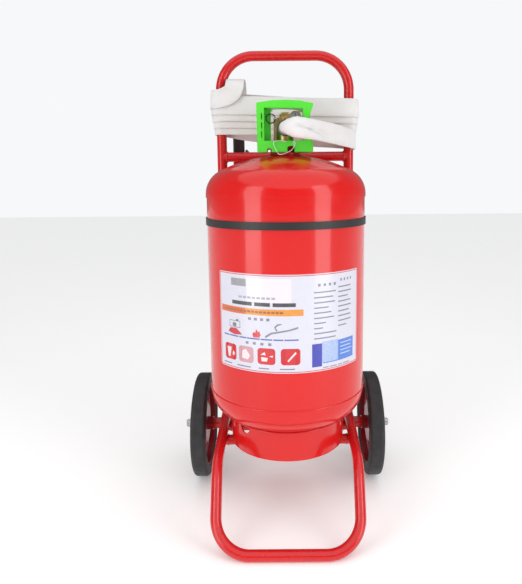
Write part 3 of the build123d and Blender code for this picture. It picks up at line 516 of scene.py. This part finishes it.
# ---- finishes on the CAD pieces -------------------------------------------------------
by_slot = {
    "tank_paint": tank_paint, "frame_paint": frame_paint, "wheel_paint": wheel_paint, "tyre": tyre,
    "bush_plastic": bush, "zinc_steel": zinc, "band_black": band_black, "brass": brass,
    "dark_steel": dark_steel, "guard_green": guard_green, "hose_canvas": hose_canvas,
    "gun_dark": gun_dark, "gauge_glass": gauge_glass, "dial_white": dial, "needle_red": needle,
    "tie_white": tie_white, "seal_rubber": seal, "label_film": dial,
}
slot_of = {row["node"]: row["material_slot"] for row in frame["record"]["subparts"]}
for name, piece in nodes.items():
    piece.data.materials.clear()
    piece.data.materials.append(by_slot[slot_of[name]])
dress(hose, hose_canvas)
TANK_R = 0.160


# ---- label ----------------------------------------------------------------------------
label_low, label_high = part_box("tank_label")
LABEL_Z = (label_low.z, label_high.z)
LABEL_S = (radians(-52) * TANK_R, radians(58) * TANK_R)
BEND_STEP = 0.003   # flat print is cut this often, so that it bends with the tank
LABEL_THICK = 0.0003


def print_and_painted_light_on(name, outlines, colour, shade, lift):
    """Shapes on the tank's label: printed marks, and a few painted highlights where the softboxes reflect in it.
    Outlines are (s, z) points: s is the way round from the front, z the height, both in millimetres from the label's
    lower left corner."""
    bm = bmesh.new()
    for outline in outlines:
        face_verts = [bm.verts.new((s * MM, 0, z * MM)) for s, z in outline]
        bm.faces.new(face_verts)
    low = min(v.co.x for v in bm.verts)
    high = max(v.co.x for v in bm.verts)
    cut = low + BEND_STEP
    while cut < high:
        bmesh.ops.bisect_plane(
            bm, geom=bm.verts[:] + bm.edges[:] + bm.faces[:],
            plane_co=(cut, 0, 0), plane_no=(1, 0, 0))
        cut += BEND_STEP
    bmesh.ops.triangulate(bm, faces=[f for f in bm.faces if len(f.verts) > 4])
    for vert in bm.verts:
        angle = (LABEL_S[0] + vert.co.x) / TANK_R
        radius = TANK_R + LABEL_THICK + lift
        vert.co = Vector((radius * sin(angle), -radius * cos(angle), LABEL_Z[0] + vert.co.z))
    piece = from_bmesh(name, bm, "frame", smooth=False)
    facing = sum(
        1 if p.normal.dot(Vector((p.center.x, p.center.y, 0))) > 0 else -1 for p in piece.data.polygons)
    if facing < 0:
        piece.data.flip_normals()
    piece.data.shade_smooth()
    return dress(piece, film(name, colour, shade))


def box_outline(s, z, wide, tall, corner=0.0):
    """A rectangle from its lower left corner, its corners rounded."""
    if not corner:
        return [(s, z), (s + wide, z), (s + wide, z + tall), (s, z + tall)]
    found = []
    for cx, cz, start in (
        (s + wide - corner, z + corner, -90), (s + wide - corner, z + tall - corner, 0),
        (s + corner, z + tall - corner, 90), (s + corner, z + corner, 180),
    ):
        for k in range(5):
            angle = radians(start + 22.5 * k)
            found.append((cx + corner * cos(angle), cz + corner * sin(angle)))
    return found


def bars(s, z, lengths, tall, step):
    """Lines of stand-in print: one bar per entry, going down."""
    return [box_outline(s, z - i * step, length, tall) for i, length in enumerate(lengths)]


def word_bars(s, z, pieces, tall):
    """A line of print broken into words."""
    found, at = [], s
    for length, gap in pieces:
        found.append(box_outline(at, z, length, tall))
        at += length + gap
    return found


WIDE = (LABEL_S[1] - LABEL_S[0]) / MM
TALL = (LABEL_Z[1] - LABEL_Z[0]) / MM
INK, INK_SHADE = (0.05, 0.05, 0.06), (0.09, 0.09, 0.10)
ground = print_and_painted_light_on(
    "label_ground", [box_outline(0, 0, WIDE, TALL, 4)], (0.70, 0.69, 0.78), (0.66, 0.66, 0.75), 0.00010)
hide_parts("tank_label")
print_and_painted_light_on("label_border", [
    box_outline(1.5, 1.5, WIDE - 3, 1.6), box_outline(1.5, TALL - 3.1, WIDE - 3, 1.6),
    box_outline(1.5, 3.1, 1.6, TALL - 6.2), box_outline(WIDE - 3.1, 3.1, 1.6, TALL - 6.2),
], (0.72, 0.10, 0.10), (0.62, 0.08, 0.08), 0.00016)
print_and_painted_light_on("label_orange_bar", [box_outline(6, 108, 170, 12)], (0.80, 0.34, 0.06), (0.72, 0.28, 0.05), 0.00016)
print_and_painted_light_on("label_orange_end", [box_outline(6, 108, 60, 12)], (0.72, 0.16, 0.05), (0.64, 0.13, 0.05), 0.00020)
print_and_painted_light_on("label_grey_block", [box_outline(34, 160, 34, 14)], (0.30, 0.30, 0.32), (0.36, 0.36, 0.38), 0.00016)
print_and_painted_light_on("label_pink_field", [box_outline(70, 132, 84, 44)], (0.84, 0.74, 0.80), (0.80, 0.75, 0.84), 0.00013)
print_and_painted_light_on("label_title", word_bars(36, 125, [(44, 5), (30, 5), (42, 0)], 7), INK, INK_SHADE, 0.00022)
print_and_painted_light_on("label_subtitle", word_bars(52, 138, [(7, 2.4)] * 8, 4), (0.36, 0.38, 0.46), (0.42, 0.43, 0.50), 0.00022)
print_and_painted_light_on("label_bar_print", word_bars(16, 112, [(6, 1.8)] * 16, 4), (0.34, 0.12, 0.04), (0.40, 0.16, 0.05), 0.00026)
print_and_painted_light_on("label_headings", word_bars(72, 98, [(6, 6)] * 4, 5) + word_bars(66, 52, [(6, 9)] * 4, 5)
         + word_bars(204, 160, [(5, 6)] * 4, 5) + word_bars(253, 166, [(4, 5)] * 4, 5),
         (0.22, 0.22, 0.28), (0.28, 0.28, 0.34), 0.00022)

COLUMN_1 = [46, 40, 44, 30, 36, 42, 24, 18, 48, 46]
COLUMN_2 = [34, 36, 26, 34, 36, 30, 34, 36, 22]
print_and_painted_light_on("label_columns", bars(196, 148, COLUMN_1, 2.4, 9.6) + bars(248, 154, COLUMN_2, 2.4, 9.2),
         (0.20, 0.20, 0.27), (0.26, 0.26, 0.33), 0.00022)
print_and_painted_light_on("label_rule", word_bars(12, 62, [(14, 1.6), (22, 2), (16, 1.4), (26, 1.8), (22, 2), (18, 2), (26, 2)], 2.6),
         (0.10, 0.13, 0.40), (0.14, 0.16, 0.44), 0.00022)
print_and_painted_light_on("label_blue_edge", [box_outline(192, 9, 20, 44)], (0.045, 0.055, 0.45), (0.04, 0.05, 0.38), 0.00016)
print_and_painted_light_on("label_blue_box", [box_outline(214, 14, 78, 40)], (0.10, 0.24, 0.72), (0.08, 0.19, 0.62), 0.00016)
# painted highlight: the left part of the blue box is given pale blue where the right softbox's reflection falls on the
# tank
print_and_painted_light_on("label_blue_painted_highlight", [box_outline(212, 16, 36, 40)], (0.34, 0.44, 0.72), (0.46, 0.56, 0.80), 0.00020)
print_and_painted_light_on("label_blue_print", bars(254, 46, [32, 30, 33, 28], 2.0, 7.0), (0.50, 0.62, 0.92), (0.46, 0.58, 0.90), 0.00022)
print_and_painted_light_on("label_footer", word_bars(214, 5, [(12, 3), (16, 3), (10, 3), (18, 4)], 2)
         + word_bars(10, 7, [(22, 10)], 2.4) + word_bars(46, 7, [(30, 6)], 2.4) + word_bars(92, 7, [(20, 8)], 2.4)
         + word_bars(132, 7, [(28, 8)], 2.4), (0.22, 0.22, 0.28), (0.28, 0.28, 0.34), 0.00022)

# four pictures in rounded squares
print_and_painted_light_on("label_squares", [box_outline(s, 16, wide, 31, 6) for s, wide in ((14, 30), (90, 34), (134, 36))],
         (0.68, 0.030, 0.035), (0.56, 0.03, 0.04), 0.00016)
# painted highlight: this square is given pale pink instead of red where the left softbox's reflection falls on the tank
print_and_painted_light_on("label_square_painted_highlight", [box_outline(50, 16, 32, 31, 6)],
         (0.66, 0.34, 0.38), (0.58, 0.30, 0.34), 0.00016)
pale_shapes = [
    [(20, 40), (32, 40), (28, 21), (23, 21)], [(34, 26), (38, 24), (40, 30), (36, 34)],
    [(57, 24), (70, 22), (75, 30), (66, 42), (58, 38)],
    [(96, 34), (104, 40), (106, 34)], [(98, 22), (108, 22), (110, 29), (97, 30)],
    [(112, 32), (120, 34), (119, 30)],
    [(146, 24), (148, 22), (163, 38), (161, 41)],
]
print_and_painted_light_on("label_pictures", pale_shapes, (0.84, 0.74, 0.76), (0.80, 0.70, 0.72), 0.00022)
# the drawn device, the flame and the nozzle
print_and_painted_light_on("label_device", [
    [(24, 70), (30, 78), (44, 79), (54, 72), (58, 68), (40, 66)],
], (0.60, 0.04, 0.06), (0.52, 0.04, 0.06), 0.00018)
print_and_painted_light_on("label_device_top", [
    box_outline(28, 80, 26, 1.2), box_outline(28, 92, 26, 1.2),
    box_outline(28, 80, 1.2, 12), box_outline(53, 80, 1.2, 12), box_outline(36, 82, 9, 7), box_outline(44, 93, 6, 3, 1),
], (0.18, 0.18, 0.22), (0.22, 0.22, 0.26), 0.00018)
print_and_painted_light_on("label_flame", [
    [(82, 66), (80, 72), (84, 77), (86, 74), (88, 82), (92, 76), (94, 79), (97, 71), (94, 66)],
], (0.70, 0.05, 0.06), (0.62, 0.05, 0.06), 0.00018)
print_and_painted_light_on("label_nozzle", [
    [(106, 66), (118, 74), (116, 77), (105, 70)], [(118, 74), (150, 80), (150, 83), (116, 77)],
    [(150, 80), (166, 84), (166, 88), (150, 83)],
    [(126, 80), (122, 87), (128, 93), (136, 94), (136, 92), (129, 90), (125, 86), (129, 81)],
], (0.22, 0.22, 0.28), (0.28, 0.28, 0.32), 0.00018)

# ---- weld beads -----------------------------------------------------------------------
SEAM_Z, NECK_Z = 0.261, 0.7362
SKIRT_R, NECK_R = 0.1195, 0.0305
TUBE_R = 0.01065
LEG_BEAD_Z = 0.1585
UPWARD, ACROSS = (0, 0, 1), (1, 0, 0)
skirt_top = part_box("base_skirt")[1].z
weld("seam_bead", (0, 0, SEAM_Z), UPWARD, TANK_R - 0.0004, tank_paint, 0.0019, 0.12)
weld("skirt_bead", (0, 0, skirt_top - 0.0035), UPWARD, SKIRT_R, tank_paint, 0.0020, 0.2)
weld("neck_bead", (0, 0, NECK_Z), UPWARD, NECK_R, tank_paint, 0.0020, 0.2)
crossbar_z = sum(corner.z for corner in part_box("upper_crossbar")) / 2
for side, word in SIDES:
    weld(f"crossbar_bead_{word}", (side * (POST_X - TUBE_R - 0.0006), POST_Y, crossbar_z), ACROSS, TUBE_R,
         frame_paint)
    for index in (1, 2):
        low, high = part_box(f"cradle_tube_{index}")
        middle = (low + high) / 2
        weld(f"cradle_bead_{index}_{word}", (side * (POST_X - TUBE_R - 0.0012), middle.y, middle.z), ACROSS,
             TUBE_R, frame_paint)
    weld(f"leg_bead_{word}", (side * POST_X, POST_Y - TUBE_R - 0.0008, LEG_BEAD_Z), (0, 1, 0.09), TUBE_R,
         frame_paint)

# ---- knurled coupling, ferrule rings, threads, tyre ribs --------------------------------
OUTLET = Vector((0, 0, 0.785))
FORWARD = (0, -1, 0)
nut_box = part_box("outlet_nut")
nut_low_y, nut_high_y = -nut_box[1].y, -nut_box[0].y
KNURLS = 30


def knurl(r, angle):
    return r - (0.0009 if r > 0.0140 else 0) * (0.5 + 0.5 * cos(KNURLS * angle)) ** 2


nut_profile = [(0.0097, nut_low_y), (0.0128, nut_low_y), (0.0149, nut_low_y + 0.0012), (0.0149, nut_low_y + 0.0058),
               (0.0138, nut_low_y + 0.0062), (0.0138, nut_low_y + 0.0074), (0.0149, nut_low_y + 0.0078),
               (0.0149, nut_high_y - 0.0012), (0.0128, nut_high_y), (0.0097, nut_high_y)]
nut = lathe("knurled_nut", OUTLET, FORWARD, nut_profile, "coupling_nut", 240, knurl)
dress(nut, dark_steel)
sharpen(nut, 40)
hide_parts("outlet_nut")
for index in range(3):
    at = nut_high_y + 0.0062 + index * 0.0026
    dress(lathe(f"ferrule_ring_{index}", OUTLET, FORWARD, [
        (0.0090, at), (0.0104, at), (0.0109, at + 0.0006), (0.0109, at + 0.0012), (0.0104, at + 0.0018),
        (0.0090, at + 0.0018)], "frame", 64), zinc)
thread_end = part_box("axle")[1].x
WHEEL_Z = 0.117
RIB_RADII = (0.1005, 0.1065)
TREAD_R = 0.1170
for side, word in SIDES:
    profile = [(0.0075, thread_end - 0.0075)]
    for index in range(5):
        at = thread_end - 0.0075 + index * 0.0012
        profile += [(0.0081, at), (0.0086, at + 0.0006)]
    profile += [(0.0081, thread_end - 0.0015), (0.0075, thread_end - 0.0015)]
    centre = Vector((0, POST_Y, WHEEL_Z))
    dress(lathe(f"axle_thread_{word}", centre, (side, 0, 0), profile, "frame", 64), zinc)
    wheel_low, wheel_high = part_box(f"tyre_{word}")
    inner, outer = sorted((abs(wheel_low.x), abs(wheel_high.x)))
    for face, sign, where in ((outer, 1, "out"), (inner, -1, "in")):
        for index, r in enumerate(RIB_RADII):
            dress(lathe(f"tyre_rib_{word}_{where}_{index}", centre, (side, 0, 0), [
                (r - 0.0012, face - sign * 0.0004), (r - 0.0004, face + sign * 0.0005),
                (r + 0.0004, face + sign * 0.0005), (r + 0.0012, face - sign * 0.0004),
            ], f"wheel_{word}", 128), tyre)
    dress(lathe(f"tyre_mould_line_{word}", centre, (side, 0, 0), [
        (TREAD_R - 0.0004, (inner + outer) / 2 - 0.0008), (TREAD_R, (inner + outer) / 2),
        (TREAD_R - 0.0004, (inner + outer) / 2 + 0.0008)], f"wheel_{word}", 128), tyre)

# ---- security tie: one thin loop through the sill ----------------------------------------
tie = wire("tie_loop", [
    (0.0030, -0.0515, 0.7600), (-0.0080, -0.0520, 0.7620), (-0.0235, -0.0525, 0.7610),
    (-0.0215, -0.0530, 0.7520), (-0.0150, -0.0545, 0.7380), (-0.0100, -0.0560, 0.7345),
    (0.0030, -0.0560, 0.7385), (0.0140, -0.0545, 0.7440), (0.0200, -0.0530, 0.7570),
    (0.0170, -0.0520, 0.7610), (0.0140, -0.0520, 0.7560), (0.0180, -0.0520, 0.7530),
], 0.0006, "frame")
dress(tie, tie_white)
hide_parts("seal_tie")

# ---- floor, backdrop and lights ---------------------------------------------------------
floor_mesh = bpy.data.meshes.new("floor")
floor_mesh.from_pydata([(-9, -9, 0), (9, -9, 0), (9, 9, 0), (-9, 9, 0)], [], [(0, 1, 2, 3)])
floor = bpy.data.objects.new("floor", floor_mesh)
bpy.context.scene.collection.objects.link(floor)
floor_shader = Shader("floor_pale")
floor_shader.colour(floor_shader.mix(floor_shader.noise(3), (0.97, 0.97, 0.97), (0.96, 0.96, 0.96)))
floor_shader.rough(floor_shader.remap(floor_shader.noise(8), 0, 1, 0.6, 0.7))
floor_shader.bsdf.inputs["Emission Color"].default_value = (1, 1, 1, 1)
floor_shader.bsdf.inputs["Emission Strength"].default_value = 0.16
floor.data.materials.append(floor_shader.material)

world = bpy.data.worlds.new("world")
world.use_nodes = True
backdrop = world.node_tree.nodes["Background"]
backdrop.inputs["Color"].default_value = (0.93, 0.94, 0.95, 1)
seen = world.node_tree.nodes.new("ShaderNodeLightPath")
level = world.node_tree.nodes.new("ShaderNodeMapRange")
level.inputs["To Min"].default_value = 0.22
level.inputs["To Max"].default_value = 1.0
world.node_tree.links.new(seen.outputs["Is Camera Ray"], level.inputs["Value"])
world.node_tree.links.new(level.outputs["Result"], backdrop.inputs["Strength"])
bpy.context.scene.world = world


BOX_DISTANCE, BOX_HEIGHT, BOX_AIM_Z = 1.9, 0.75, 0.45
BOX_SIZE, BOX_POWER = (0.80, 2.1), 17


def softbox(name, azimuth):
    """A tall soft light beside the object, azimuth in degrees from the front."""
    light_data = bpy.data.lights.new(name, "AREA")
    light_data.shape = "RECTANGLE"
    light_data.size, light_data.size_y = BOX_SIZE
    light_data.energy = BOX_POWER
    light = bpy.data.objects.new(name, light_data)
    bpy.context.scene.collection.objects.link(light)
    turn = radians(azimuth)
    spot = Vector((BOX_DISTANCE * sin(turn), -BOX_DISTANCE * cos(turn), BOX_HEIGHT))
    light.location = spot
    light.rotation_euler = (Vector((0, 0, BOX_AIM_Z)) - spot).to_track_quat("-Z", "Y").to_euler()


softbox("soft_left", -45)
softbox("soft_right", 51)
sky_data = bpy.data.lights.new("soft_sky", "SUN")
sky_data.energy = 1.75
sky_data.angle = radians(100)
sky = bpy.data.objects.new("soft_sky", sky_data)
bpy.context.scene.collection.objects.link(sky)
sky.rotation_euler = (radians(12), radians(4), 0)
